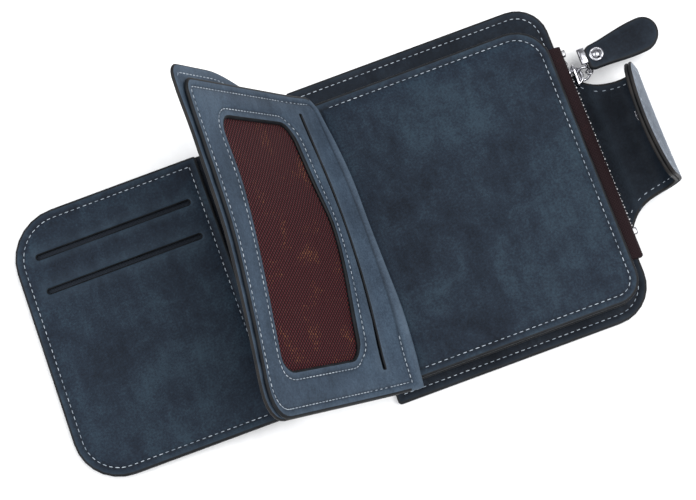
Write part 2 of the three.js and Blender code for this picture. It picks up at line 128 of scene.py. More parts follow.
# Page: where its fold lies, how steeply it stands at its bottom and top, and how far along that slope each
# of its columns reaches at each height, which gives its bow.
PAGE_FOLD_X, PAGE_FOLD_Z = -39.24, 15.0
PAGE_STEEPNESS = ((-58.1, 55.4), (49.3, 65.25))
PAGE_COLUMNS = (0.0, 4.0, 15.3, 23.0, 69.5, 87.0)
PAGE_ROWS = {
    -58.0: (-3.0, 5.2, 17.0, 28.6, 70.8, 82.5),
    -46.0: (-5.6, 4.4, 16.4, 28.4, 70.6, 80.8),
    -30.0: (-7.3, 1.0, 13.4, 25.2, 69.2, 79.8),
    -14.0: (-7.0, -0.6, 11.2, 20.9, 67.6, 79.2),
    3.0: (-6.7, -1.2, 10.4, 18.6, 66.4, 79.4),
    18.0: (-7.1, -0.8, 11.0, 21.9, 66.5, 81.6),
    32.0: (-5.2, 1.2, 13.0, 24.8, 69.2, 84.2),
    44.0: (-1.6, 3.0, 14.9, 27.2, 71.4, 86.6),
    56.0: (0.6, 4.4, 16.4, 28.6, 73.0, 88.2),
}

# ---- Materials ----


def linear(hex_colour):
    """An sRGB hex colour as linear RGBA."""
    parts = [int(hex_colour[i : i + 2], 16) / 255 for i in (1, 3, 5)]
    return (*(c / 12.92 if c <= 0.04045 else ((c + 0.055) / 1.055) ** 2.4 for c in parts), 1.0)


def per_mm(size):
    """The texture scale whose features are about that many millimetres across."""
    return 1000.0 / size


def add_node(tree, kind, links=None, **settings):
    """A node with its settings, and each named or numbered input set to a value or linked to a socket."""
    made = tree.nodes.new(kind)
    for key, value in settings.items():
        setattr(made, key, value)
    for socket, source in (links or {}).items():
        if isinstance(source, bpy.types.NodeSocket):
            tree.links.new(source, made.inputs[socket])
        else:
            made.inputs[socket].default_value = source
    return made


def new_material(name, shader_values):
    """A material with one shader, whose all-over values are set on its own sockets, and the object's
    coordinates."""
    made = bpy.data.materials.new(name)
    made.use_nodes = True
    tree = made.node_tree
    tree.nodes.clear()
    shader = add_node(tree, "ShaderNodeBsdfPrincipled", shader_values)
    add_node(tree, "ShaderNodeOutputMaterial", {"Surface": shader.outputs["BSDF"]})
    return made, tree, shader, add_node(tree, "ShaderNodeTexCoord").outputs["Object"]


def ramp(tree, level, stops):
    """A colour ramp over level, with (place, hex colour) stops."""
    made = add_node(tree, "ShaderNodeValToRGB", {"Fac": level})
    while len(made.color_ramp.elements) < len(stops):
        made.color_ramp.elements.new(1.0)
    for element, (place, colour) in zip(made.color_ramp.elements, stops):
        element.position = place
        element.color = linear(colour)
    return made.outputs["Color"]


def mottle(tree, place, size, detail, **more):
    """Noise whose features are about size millimetres across."""
    links = {"Vector": place, "Scale": per_mm(size), "Detail": detail, **more}
    return add_node(tree, "ShaderNodeTexNoise", links).outputs["Fac"]


def maths(tree, operation, *values):
    """The result of one operation on numbers or sockets."""
    return add_node(tree, "ShaderNodeMath", dict(enumerate(values)), operation=operation).outputs["Value"]


def mixed(tree, share, one, other):
    """A number that lies between two others by share."""
    return add_node(tree, "ShaderNodeMix", {0: share, 2: one, 3: other}).outputs[0]


def tinted(tree, share, colour, over):
    """A colour with a hex colour laid over it by share."""
    return add_node(tree, "ShaderNodeMix", {0: share, 6: colour, 7: linear(over)},
                    data_type="RGBA").outputs[2]


def spread(tree, value, links):
    """A value brought from one range to another."""
    return add_node(tree, "ShaderNodeMapRange", {"Value": value, **links}).outputs["Result"]


def surface(tree, shader, colour, height, strength, deep, under=None):
    """Links the shader's colour, if one is given, and relief that many millimetres deep. Returns the
    normal."""
    links = {"Height": height, "Strength": strength, "Distance": deep * MM}
    if under is not None:
        links["Normal"] = under
    normal = add_node(tree, "ShaderNodeBump", links).outputs["Normal"]
    tree.links.new(normal, shader.inputs["Normal"])
    if colour is not None:
        tree.links.new(colour, shader.inputs["Base Color"])
    return normal


def nubuck(name, deep, middle, light, rim):
    """Nubuck-finish leather: the grain side is buffed to a short nap and waxed, so it looks dry and cloudy,
    with paler rubbed patches 8 to 26 mm across, a fine grain, edges that wear pale and seams that hold
    shade."""
    made, tree, shader, place = new_material(
        name, {"Sheen Weight": 0.05, "Sheen Roughness": 0.5, "Sheen Tint": linear("#8ea2b4"), "IOR": 1.4,
               "Specular IOR Level": 0.2}
    )
    clouds = mottle(tree, place, 26, 5, Roughness=0.6, Distortion=0.5)
    patches = mottle(tree, place, 8, 4, Roughness=0.6, Distortion=0.8)
    grain = mottle(tree, place, 0.8, 3, Roughness=0.75)
    pores = add_node(tree, "ShaderNodeTexVoronoi",
                     {"Vector": place, "Scale": per_mm(0.9)}).outputs["Distance"]
    drawn = add_node(tree, "ShaderNodeMapping",
                     {"Vector": place, "Scale": (1.0, 0.22, 1.0), "Rotation": (0, 0, 0.5)})
    strokes = mottle(tree, drawn.outputs["Vector"], 3.2, 3)
    stroked = mixed(tree, 0.16, mixed(tree, 0.34, clouds, patches), strokes)
    colour = ramp(tree, mixed(tree, 0.36, stroked, grain), [(0.39, deep), (0.50, middle), (0.61, light)])
    rim_worn, seam_near = (
        add_node(tree, "ShaderNodeAttribute", attribute_name=label).outputs["Fac"]
        for label in ("rim", "seam")
    )
    worn = tinted(tree, maths(tree, "MULTIPLY", rim_worn, patches), colour, rim)
    shaded = tinted(tree, maths(tree, "MULTIPLY", seam_near, 0.55), worn, "#0b0e13")
    dry = spread(tree, stroked, {"From Min": 0.35, "From Max": 0.65, "To Min": 0.74, "To Max": 0.56})
    tree.links.new(dry, shader.inputs["Roughness"])
    fine = surface(tree, shader, shaded, maths(tree, "MULTIPLY_ADD", pores, 0.5, grain), 0.32, 0.12)
    surface(tree, shader, None, patches, 0.28, 0.6, fine)
    return made


def edge_paint(name, dark, pale):
    """Acrylic edge paint on cut leather: near black and half glossy, a little lumpy, and rubbed thin here
    and there."""
    made, tree, shader, place = new_material(name, {"IOR": 1.42, "Specular IOR Level": 0.25})
    rubbed = mottle(tree, place, 7, 4)
    tree.links.new(spread(tree, rubbed, {"To Min": 0.45, "To Max": 0.7}), shader.inputs["Roughness"])
    colour = ramp(tree, rubbed, [(0.4, dark), (0.66, pale)])
    surface(tree, shader, colour, mottle(tree, place, 1.6, 3), 0.35, 0.2)
    return made


def sewing_thread():
    """Bonded polyester thread, about 0.4 mm thick: a smooth pale blue-grey twist with a soft sheen."""
    made, tree, shader, place = new_material(
        "polyester_thread", {"Sheen Weight": 0.05, "Sheen Roughness": 0.4, "IOR": 1.45, "Roughness": 0.55}
    )
    colour = ramp(tree, mottle(tree, place, 4, 2), [(0.35, "#727d89"), (0.65, "#a9b2bb")])
    surface(tree, shader, colour, mottle(tree, place, 0.25, 2), 0.3, 0.08)
    return made


def crossed_weave(name, dark, thread, fleck, pitch, turn, open_share, lift, knotted=False):
    """A polyester cloth of two crossing thread directions: the threads catch the light, here and there with
    a brighter fleck, and the gaps between them stay dark. Pitch is the thread spacing and lift the relief,
    in millimetres, and turn the threads' angle in degrees. Knotted cloth is bright only where threads
    cross."""
    made, tree, shader, place = new_material(
        name, {"Sheen Weight": 0.04, "Sheen Roughness": 0.5, "IOR": 1.4, "Specular IOR Level": 0.2}
    )
    across = add_node(tree, "ShaderNodeUVMap", uv_map="flat").outputs["UV"]
    turned_by = add_node(tree, "ShaderNodeMapping",
                         {"Vector": across, "Rotation": (0, 0, math.radians(turn))})
    wave = {"Vector": turned_by.outputs["Vector"], "Scale": per_mm(pitch) * math.tau / 20, "Distortion": 0.6,
            "Detail": 1.0, "Detail Scale": 0.6}
    bands = [
        add_node(tree, "ShaderNodeTexWave", wave, bands_direction=way).outputs["Fac"]
        for way in ("X", "Y")
    ]
    both = maths(tree, "MULTIPLY" if knotted else "MAXIMUM", *bands)
    threads = spread(tree, both, {"From Min": open_share, "From Max": 0.6 if knotted else 0.95})
    body = ramp(tree, threads, [(0.0, dark), (0.75, thread)])
    wide = maths(tree, "MULTIPLY", mottle(tree, place, 0.9, 3), mottle(tree, place, 9, 2))
    flecked = spread(tree, wide, {"From Min": 0.32, "From Max": 0.42, "To Max": 0.6})
    colour = tinted(tree, maths(tree, "MULTIPLY", flecked, threads), body, fleck)
    tree.links.new(spread(tree, both, {"To Min": 0.92, "To Max": 0.66}), shader.inputs["Roughness"])
    surface(tree, shader, colour, both, 0.7, lift)
    return made


def plated(name, bright, dull, roughness, wear):
    """Nickel plating on die-cast zinc or brass: bright and neutral, a little softened by fine handling
    marks."""
    made, tree, shader, place = new_material(name, {"Metallic": 1.0})
    marks = mottle(tree, place, 1.5, 3)
    worn = spread(tree, marks, {"To Min": roughness, "To Max": roughness + wear})
    tree.links.new(worn, shader.inputs["Roughness"])
    surface(tree, shader, ramp(tree, marks, [(0.3, dull), (0.6, bright)]), marks, 0.12, 0.1)
    return made


OUTER = nubuck("navy_nubuck", "#0b1017", "#111821", "#19222c", "#27313b")
FACING = nubuck("blue_grey_nubuck", "#10161f", "#18222e", "#243440", "#35434f")
# The page's leather: the navy nubuck painted paler, as painted light standing in for the light the raised page
# catches from the right.
PAGE_LIT_NUBUCK = nubuck("page_nubuck_painted_light", "#2a343f", "#364250", "#435261", "#4f5c69")
# The strap's outer face: the navy nubuck painted pale, as painted light standing in for the light on the curl
# that faces the lamp on the right.
STRAP_LIT_NUBUCK = nubuck("strap_nubuck_painted_light", "#4a515b", "#666d77", "#848b94", "#8b929b")
EDGE = edge_paint("black_edge_paint", "#0b0d10", "#191c20")
BROWN_EDGE = edge_paint("grey_brown_edge_paint", "#111214", "#211f1e")
THREAD = sewing_thread()
LINING = crossed_weave("dark_lining_cloth", "#0d1015", "#1c222b", "#262d37", 0.5, 0, 0.3, 0.08)
MESH = crossed_weave("maroon_tricot_mesh", "#0e0204", "#4c0e16", "#8c5636", 1.1, 40, 0.02, 0.45, True)
TAPE = crossed_weave("maroon_zip_tape", "#0d0506", "#1e0e12", "#2d1819", 0.55, 0, 0.3, 0.12)
NICKEL = plated("nickel_plated_teeth", "#9c9c9e", "#545458", 0.24, 0.22)
CHROME = plated("bright_nickel_plate", "#b4b4b9", "#3e3e44", 0.1, 0.14)

# ---- Shapes ----


def loop(outline, inset=0.0, straight=22, curved=7):
    """Points round a rounded rectangle, anticlockwise from its top right corner, as many for every inset."""
    (left, right, bottom, top), corners = outline
    left, right, bottom, top = left + inset, right - inset, bottom + inset, top - inset
    radii = [max(r - inset, 0.2) for r in corners]
    centres = [
        (right - radii[0], top - radii[0]),
        (left + radii[1], top - radii[1]),
        (left + radii[2], bottom + radii[2]),
        (right - radii[3], bottom + radii[3]),
    ]
    arcs = []
    for k, ((x, y), r) in enumerate(zip(centres, radii)):
        turns = [math.pi / 2 * (k + i / curved) for i in range(curved + 1)]
        arcs.append([(x + r * math.cos(t), y + r * math.sin(t)) for t in turns])
    points = []
    for k, arc in enumerate(arcs):
        points += arc
        a, b = Vector(arc[-1]), Vector(arcs[(k + 1) % 4][0])
        points += [tuple(a.lerp(b, i / straight)) for i in range(1, straight)]
    return points


def depth(outline, x, y):
    """How far a point lies inside a rounded rectangle's edge."""
    (left, right, bottom, top), (tr, tl, bl, br) = outline
    middle_x, middle_y = (left + right) / 2, (bottom + top) / 2
    r = (tr if y > middle_y else br) if x > middle_x else (tl if y > middle_y else bl)
    across = abs(x - middle_x) - (right - left) / 2 + r
    up = abs(y - middle_y) - (top - bottom) / 2 + r
    return r - math.hypot(max(across, 0), max(up, 0)) - min(max(across, up), 0)


def smooth(t):
    """From 0 to 1 as t goes from 0 to 1, level at both ends."""
    t = min(max(t, 0.0), 1.0)
    return t * t * (3 - 2 * t)


def lying(x, y, z):
    """Where a point of a flat panel lies, in metres."""
    return Vector((x, y, z)) * MM


def linked(name, data):
    """An object of the scene with that data."""
    made = bpy.data.objects.new(name, data)
    bpy.context.scene.collection.objects.link(made)
    return made


def finished(name, mesh, materials, body=None, replaces=(), slot=None, flip=True):
    """A mesh as a piece of its own, its faces pointing outwards, riding on a body and standing for CAD
    nodes."""
    work = bmesh.new()
    work.from_mesh(mesh)
    if flip:
        bmesh.ops.remove_doubles(work, verts=work.verts, dist=1e-7)
        bmesh.ops.recalc_face_normals(work, faces=work.faces)
    for face in work.faces:
        face.smooth = True
    work.to_mesh(mesh)
    work.free()
    for material in materials:
        mesh.materials.append(material)
    piece = linked(name, mesh)
    if body:
        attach(piece, body)
    if replaces:
        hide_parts(*replaces)
    return piece


def mesh_of(name, points, faces, slots=None, flat=None, marks=None):
    """A mesh from points in metres, with a material number for each face, flat coordinates in millimetres
    for the weave, and named values at each point, such as how near to the rim it lies."""
    mesh = bpy.data.meshes.new(name)
    mesh.from_pydata([tuple(p) for p in points], [], faces)
    if slots:
        mesh.polygons.foreach_set("material_index", slots)
    if flat:
        layer = mesh.uv_layers.new(name="flat")
        for corner in mesh.loops:
            x, y = flat[corner.vertex_index]
            layer.data[corner.index].uv = (x * MM, y * MM)
    for label, values in (marks or {}).items():
        mesh.attributes.new(label, "FLOAT", "POINT").data.foreach_set("value", values)
    return mesh


def fill(loops, outside, cuts, step):
    """Triangles over the first loop less the others, on a grid of points, as (new grid points,
    triangles)."""
    points = [Vector(p) for ring in loops for p in ring]
    edges, start = [], 0
    for ring in loops:
        edges += [(start + i, start + (i + 1) % len(ring)) for i in range(len(ring))]
        start += len(ring)
    (left, right, bottom, top), _ = outside
    rows = max(int((top - bottom) / step), 1)
    columns = max(int((right - left) / step), 1)
    grid = []
    for j in range(1, rows):
        for i in range(1, columns):
            x = left + (right - left) * (i + 0.5 * (j % 2) - 0.25) / columns
            y = bottom + (top - bottom) * j / rows
            inside = depth(outside, x, y) > step * 0.55
            if inside and all(depth(cut, x, y) < -step * 0.55 for cut in cuts):
                grid.append(Vector((x, y)))
    made = geometry.delaunay_2d_cdt(points + grid, edges, [], 1, 1e-5)
    first = [origins[0] for origins in made[3]]
    triangles = []
    for face in made[2]:
        x = sum(made[0][i].x for i in face) / len(face)
        y = sum(made[0][i].y for i in face) / len(face)
        if all(depth(cut, x, y) < 0 for cut in cuts):
            triangles.append([first[i] for i in face])
    return grid, triangles


def panel(name, outline, low, high, materials, place=lying, holes=(), seams=(SEAM_INSET,), crown=0.3,
          step=3.5, rounding=0.45, lip=0.0, painted=None, **finish):
    """A leather panel between two heights: rounded edges, a groove along each seam and a softly crowned
    face. Its materials are (face, edge, underside), or one for all three, and its holes are (outline, seam
    distance or None). Returns the piece and the height of its face at a point."""
    r = min(rounding, (high - low) * 0.48)
    seed = sum(map(ord, name))
    shapes = [hole for hole, _ in holes]

    def from_seams(x, y, inside):
        return [inside - at for at in seams] + [-depth(hole, x, y) - at for hole, at in holes if at]

    def face(x, y):
        inside = depth(outline, x, y)
        from_hole = min((-depth(hole, x, y) for hole in shapes), default=99.0)
        z = high + crown * smooth((inside - r) / 9) * smooth((from_hole + 2) / 6)
        z += lip * math.exp(-(((from_hole - 1.1) / 0.9) ** 2))
        roll = noise.noise(Vector((x / 17, y / 17, seed)))
        roll += 0.4 * noise.noise(Vector((x / 7, y / 7, seed + 9)))
        z += min(crown, 0.35) * 0.55 * roll * smooth((min(inside, from_hole) - 1) / 6)
        for off in from_seams(x, y, inside):
            z -= GROOVE_DEPTH * math.exp(-((off / GROOVE_WIDTH) ** 2))
        return z

    def insets(stitched):
        found = {r + 0.35, 1.2} if stitched else {r + 0.3, 1.3}
        for at in stitched:
            found |= {at - 0.9, at - 0.35, at, at + 0.35, at + 0.9}
        return sorted(found)

    side = [(r, low), (0.3 * r, low + 0.3 * r), (0, low + r), (0, high - r), (0.3 * r, high - 0.3 * r),
            (r, high)]
    points, flat, faces, slots = [], [], [], []

    def ring(shape, inset, z):
        start = len(points)
        around = loop(shape, inset)
        for x, y in around:
            points.append((x, y, face(x, y) if z is None else z))
            flat.append((x, y))
        return start, len(around)

    def bridge(a, b, slot):
        (first, count), (second, _) = a, b
        for i in range(count):
            j = (i + 1) % count
            faces.append([first + i, first + j, second + j, second + i])
            slots.append(slot)

    inner_top, inner_low = [], []
    for shape, sign, stitched in [(outline, 1, seams),
                                  *[(hole, -1, [at] if at else []) for hole, at in holes]]:
        rings = [(ring(shape, sign * inset, z), 1) for inset, z in side]
        for k, inset in enumerate(insets(stitched)):
            edge_slot = int(k == 0 and (sign > 0 or bool(stitched)))
            rings.append((ring(shape, sign * inset, None), edge_slot))
        for (a, _), (b, slot) in zip(rings, rings[1:]):
            bridge(a, b, slot)
        inner_low.append(rings[0][0])
        inner_top.append(rings[-1][0])
    for ends, slot in ((inner_top, 0), (inner_low, 2)):
        rings = [[points[start + i][:2] for i in range(count)] for start, count in ends]
        border = [start + i for start, count in ends for i in range(count)]
        bounds = [outline_at(shape, points_of) for shape, points_of in zip([outline, *shapes], rings)]
        grid, triangles = fill(rings, bounds[0], bounds[1:], step)
        start = len(points)
        for x, y in grid:
            points.append((x, y, face(x, y) if slot == 0 else low))
            flat.append((x, y))
        for triangle in triangles:
            faces.append([border[i] if i < len(border) else start + i - len(border) for i in triangle])
            slots.append(slot)
    if painted:
        for i, corners in enumerate(faces):
            middle = [sum(flat[c][k] for c in corners) / len(corners) for k in (0, 1)]
            if slots[i] == 1 and not painted(*middle):
                slots[i] = 0
    marks = {"rim": [], "seam": []}
    for x, y in flat:
        inside = depth(outline, x, y)
        near = min([inside, *[-depth(hole, x, y) for hole in shapes]])
        marks["rim"].append(max(0.0, 1 - near / WORN_RIM))
        shades = [math.exp(-((off / SHADED_SEAM) ** 2)) for off in from_seams(x, y, inside)]
        marks["seam"].append(max(shades, default=0.0))
    mesh = mesh_of(name, [place(*p) for p in points], faces, slots, flat, marks)
    return finished(name, mesh, materials if isinstance(materials, tuple) else [materials] * 3,
                    **finish), face


def plain_panel(name, outline, low, high, materials, **more):
    """A panel with no seams and a level face. Returns only the piece."""
    return panel(name, outline, low, high, materials, **{"seams": (), "crown": 0.0, **more})[0]


def outline_at(outline, ring_points):
    """The rounded rectangle through a loop's points, for telling what lies inside it."""
    xs = [p[0] for p in ring_points]
    ys = [p[1] for p in ring_points]
    (left, right, bottom, top), corners = outline
    inset = min(xs) - left
    return (min(xs), max(xs), min(ys), max(ys)), tuple(max(r - inset, 0.2) for r in corners)


def chords(path, closed=False):
    """The direction of a path of vectors at each of its points."""
    count = len(path)
    found = []
    for i in range(count):
        before = path[i - 1 if i or closed else 0]
        after = path[(i + 1) % count if i + 1 < count or closed else i]
        found.append((after - before).normalized())
    return found


def skin(rings, count, closed=False):
    """Faces between rings of count points each, and over both ends unless the last ring joins the first."""
    faces = []
    for i in range(rings if closed else rings - 1):
        after = (i + 1) % rings
        for k in range(count):
            j = (k + 1) % count
            faces.append([i * count + k, i * count + j, after * count + j, after * count + k])
    if not closed:
        faces.append(list(reversed(range(count))))
        faces.append([(rings - 1) * count + k for k in range(count)])
    return faces


def along(path):
    """A place function for a strip whose side view follows path, (x, z) points in millimetres: its first
    coordinate runs along the path, its second across the strip, and its third to the path's left."""
    path = [Vector(p) for p in path]
    marks = [0.0]
    for a, b in zip(path, path[1:]):
        marks.append(marks[-1] + (b - a).length)
    turns = chords(path)

    def place(s, y, w):
        k = 0
        while k < len(marks) - 2 and s > marks[k + 1]:
            k += 1
        t = (s - marks[k]) / (marks[k + 1] - marks[k])
        at = path[k].lerp(path[k + 1], t) if 0 <= t <= 1 else path[k] + (path[k + 1] - path[k]) * t
        turn = turns[k].lerp(turns[k + 1], min(max(t, 0), 1)).normalized()
        return Vector((at.x - turn.y * w, y, at.y + turn.x * w)) * MM

    return place, marks[-1]


def arc(centre, radius, start, end, steps):
    """Points on an arc, its angles in degrees."""
    turns = [math.radians(start + (end - start) * i / steps) for i in range(steps + 1)]
    return [(centre[0] + radius * math.cos(t), centre[1] + radius * math.sin(t)) for t in turns]


def sweep(name, path, profile, materials, **finish):
    """A closed profile of (offset to the right, height) points carried along a flat path, with capped
    ends."""
    path = [Vector(p) for p in path]
    points, flat = [], []
    travelled = 0.0
    for i, (p, chord) in enumerate(zip(path, chords(path))):
        travelled += (p - path[i - 1]).length if i else 0
        for k, (offset, z) in enumerate(profile):
            points.append(Vector((p.x + chord.y * offset, p.y - chord.x * offset, z)) * MM)
            flat.append((travelled, k * 0.6))
    mesh = mesh_of(name, points, skin(len(path), len(profile)), None, flat)
    return finished(name, mesh, materials, **finish)


def turned(name, profile, axis, materials, segments=48, **finish):
    """A turned piece: (radius, height) points spun about the local Z of axis, a matrix in millimetres. A
    profile that ends where it began makes a ring, and any other is capped."""
    hollow = profile[0] == profile[-1]
    profile = profile[:-1] if hollow else profile
    points = [p * MM for radius, height in profile for p in circle(axis, radius, segments, height)]
    faces = skin(len(profile), segments, hollow)
    return finished(name, mesh_of(name, points, faces), materials, **finish)


def circle(axis, radius, count, height=0):
    """Points round a circle in the local XY of axis, or that far above it."""
    turns = [math.tau * i / count for i in range(count)]
    return [axis @ Vector((radius * math.cos(t), radius * math.sin(t), height)) for t in turns]


def tube(path, radius, sides=12, closed=False, flatten=1.0):
    """Points and faces of a round bar along a path of millimetre points."""
    points = []
    path = [Vector(p) for p in path]
    side = None
    for p, chord in zip(path, chords(path, closed)):
        side = side or chord.orthogonal().normalized()
        side = (side - chord * side.dot(chord)).normalized()
        up = chord.cross(side)
        for k in range(sides):
            t = math.tau * k / sides
            points.append((p + side * radius * math.cos(t) + up * radius * flatten * math.sin(t)) * MM)
    return points, skin(len(path), sides, closed)


def bevelled_box(low, high, bevel=0.15, segments=2):
    """A box between two corners with rounded edges, as a bmesh in metres."""
    work = bmesh.new()
    bmesh.ops.create_cube(work, size=1.0)
    size = Vector(high) - Vector(low)
    middle = (Vector(high) + Vector(low)) / 2
    for vertex in work.verts:
        vertex.co = Vector(a * b for a, b in zip(vertex.co, size)) * MM + middle * MM
    bmesh.ops.bevel(work, geom=list(work.edges), offset=bevel * MM, segments=segments, affect="EDGES",
                    profile=0.6)
    return work


def prism(outline, low, high, axis, bevel=0.12):
    """An outline of (a, b) points made solid between two heights along axis, with rounded edges, as a
    bmesh."""
    work = bmesh.new()
    rings = []
    for height in (low, high):
        rings.append([work.verts.new(axis @ Vector((a, b, height)) * MM) for a, b in outline])
    work.faces.new(list(reversed(rings[0])))
    work.faces.new(rings[1])
    for i in range(len(outline)):
        j = (i + 1) % len(outline)
        work.faces.new([rings[0][i], rings[0][j], rings[1][j], rings[1][i]])
    bmesh.ops.bevel(work, geom=list(work.edges), offset=bevel * MM, segments=2, affect="EDGES", profile=0.6)
    return work


def together(name, parts):
    """Several bmeshes, or (points, faces) pairs, as one mesh."""
    points, faces = [], []
    for part in parts:
        start = len(points)
        if isinstance(part, bmesh.types.BMesh):
            part.verts.index_update()
            points += [v.co.copy() for v in part.verts]
            faces += [[start + v.index for v in face.verts] for face in part.faces]
            part.free()
        else:
            points += part[0]
            faces += [[start + i for i in face] for face in part[1]]
    return mesh_of(name, points, faces)


# ---- Page surface ----


def between(samples, x):
    """Values interpolated between (place, value) samples, smoothly at each sample."""
    places = [p for p, _ in samples]
    k = min(max(sum(p <= x for p in places) - 1, 0), len(samples) - 2)
    t = (x - places[k]) / (places[k + 1] - places[k])
    values = [samples[min(max(k + i, 0), len(samples) - 1)][1] for i in (-1, 0, 1, 2)]
    if t < 0 or t > 1:
        return values[1] + (values[2] - values[1]) * t
    a, b, c, d = values
    return b + 0.5 * t * (c - a + t * (2 * a - 5 * b + 4 * c - d + t * (3 * (b - c) + d - a)))


PAGE_TABLE = sorted(PAGE_ROWS.items())


def page_line(u, v):
    """The page's front face: u runs from its fold to its free edge and v up it."""
    reaches = [
        between([(row, values[k]) for row, values in PAGE_TABLE], v)
        for k in range(len(PAGE_COLUMNS))
    ]
    k = min(max(sum(c <= u for c in PAGE_COLUMNS) - 1, 0), len(PAGE_COLUMNS) - 2)
    t = (u - PAGE_COLUMNS[k]) / (PAGE_COLUMNS[k + 1] - PAGE_COLUMNS[k])
    reach = reaches[k] + (reaches[k + 1] - reaches[k]) * t
    (v0, steep0), (v1, steep1) = PAGE_STEEPNESS
    steep = math.radians(steep0 + (steep1 - steep0) * (v - v0) / (v1 - v0))
    rise = reach * math.sin(steep) / 2.2
    climb = 2.2 * (math.log1p(math.exp(rise)) if rise < 30 else rise)
    return Vector((PAGE_FOLD_X - reach * math.cos(steep), v,
                   PAGE_FOLD_Z + 2.0 + climb - 2.0 * smooth(u / 20)))


def page_place(u, v, w):
    """A point w behind the page's front face, in metres."""
    here = page_line(u, v)
    run = page_line(u + 0.6, v) - page_line(u - 0.6, v)
    back = Vector((-run.z, 0, run.x)).normalized()
    return (here + back * w) * MM


# ---- Seams ----

SEAMS = {}


def sew(key, line, place, height, pitch=STITCH_PITCH, outwards=1):
    """Marks a stitch every pitch along a line of flat points, on the face that place and height give."""
    line = [Vector(p) for p in line]
    left_over = pitch / 2
    for a, b in zip(line, line[1:]):
        span = (b - a).length
        if span < 1e-6:
            continue
        t = left_over
        while t < span:
            at = a.lerp(b, t / span)
            ahead = at + (b - a) / span * 0.4
            here = place(at.x, at.y, height(at.x, at.y))
            run = place(ahead.x, ahead.y, height(ahead.x, ahead.y)) - here
            out = place(at.x, at.y, height(at.x, at.y) + outwards * 0.5) - here
            SEAMS.setdefault(key, []).append((here, run.normalized(), out.normalized()))
            t += pitch
        left_over = t - span


def under(layer):
    """The height of stitches on a layer's underside."""
    return lambda x, y: layer[0] - STITCH_GAP


def part_of(outline, inset, keep=lambda x, y: True):
    """The stretch of a rounded rectangle's inner line where keep(x, y) holds, in order."""
    ring_points = loop(outline, inset, straight=60, curved=14)
    count = len(ring_points)
    kept = [keep(*p) for p in ring_points]
    if all(kept):
        return [*ring_points, ring_points[0]]
    start = next(i for i in range(count) if kept[i] and not kept[i - 1])
    return [ring_points[i % count] for i in range(start, start + count) if kept[i % count]]


def tree_with(name, sockets):
    """An empty geometry tree with a geometry input and output and the named inputs, and its two end
    nodes."""
    tree = bpy.data.node_groups.new(name, "GeometryNodeTree")
    tree.interface.new_socket("Geometry", in_out="INPUT", socket_type="NodeSocketGeometry")
    tree.interface.new_socket("Geometry", in_out="OUTPUT", socket_type="NodeSocketGeometry")
    for label, kind in sockets.items():
        tree.interface.new_socket(label, in_out="INPUT", socket_type="NodeSocket" + kind)
    return tree, add_node(tree, "NodeGroupInput").outputs, add_node(tree, "NodeGroupOutput")


def set_along_seam(tree, given, end, unit, size):
    """The end of both trees: the unit at each point, turned along its seam, realised and given its
    material."""
    run = add_node(tree, "GeometryNodeInputNamedAttribute", {"Name": "along"}, data_type="FLOAT_VECTOR")
    out = add_node(tree, "GeometryNodeInputNamedAttribute", {"Name": "out"}, data_type="FLOAT_VECTOR")
    facing = add_node(
        tree,
        "FunctionNodeAxesToRotation",
        {"Primary Axis": out.outputs["Attribute"], "Secondary Axis": run.outputs["Attribute"]},
        primary_axis="Z",
        secondary_axis="X",
    )
    points = add_node(tree, "GeometryNodeMeshToPoints", {"Mesh": given["Geometry"]})
    placed = add_node(
        tree,
        "GeometryNodeInstanceOnPoints",
        {"Points": points.outputs["Points"], "Instance": unit, "Rotation": facing.outputs["Rotation"],
         "Scale": size},
    )
    real = add_node(tree, "GeometryNodeRealizeInstances", {"Geometry": placed.outputs["Instances"]})
    shaded = add_node(
        tree, "GeometryNodeSetMaterial",
        {"Geometry": real.outputs["Geometry"], "Material": given["Material"]}
    )
    tree.links.new(shaded.outputs["Geometry"], end.inputs["Geometry"])


def stitch_tree():
    """Stitches: each is a short arch of thread whose two ends dip into the leather."""
    tree, given, end = tree_with(
        "seam_stitches",
        {"Length": "Float", "Thickness": "Float", "Dip": "Float", "Seed": "Int", "Material": "Material"}
    )
    half = maths(tree, "MULTIPLY", given["Length"], 0.5)
    back = maths(tree, "MULTIPLY", given["Length"], -0.5)
    down = maths(tree, "MULTIPLY", given["Dip"], -1.0)
    start, stop, crest = (
        add_node(tree, "ShaderNodeCombineXYZ", links).outputs["Vector"]
        for links in ({"X": back, "Z": down}, {"X": half, "Z": down}, {"Z": given["Dip"]})
    )
    arch = add_node(
        tree, "GeometryNodeCurveQuadraticBezier",
        {"Resolution": 5, "Start": start, "Middle": crest, "End": stop}
    )
    width = maths(tree, "MULTIPLY", given["Thickness"], 0.5)
    round_section = add_node(tree, "GeometryNodeCurvePrimitiveCircle", {"Resolution": 6, "Radius": width})
    bar = add_node(
        tree,
        "GeometryNodeCurveToMesh",
        {"Curve": arch.outputs["Curve"], "Profile Curve": round_section.outputs["Curve"], "Fill Caps": True},
    )
    size = add_node(
        tree,
        "FunctionNodeRandomValue",
        {0: (0.9, 0.85, 0.85), 1: (1.06, 1.1, 1.1), "Seed": given["Seed"]},
        data_type="FLOAT_VECTOR",
    ).outputs[0]
    set_along_seam(tree, given, end, bar.outputs["Mesh"], size)
    return tree


def tooth_tree():
    """Zipper teeth: the tooth given as an object, one at each point of a row."""
    tree, given, end = tree_with("zip_teeth", {"Tooth": "Object", "Size": "Float", "Material": "Material"})
    tooth = add_node(tree, "GeometryNodeObjectInfo", {"Object": given["Tooth"]})
    set_along_seam(tree, given, end, tooth.outputs["Geometry"], given["Size"])
    return tree


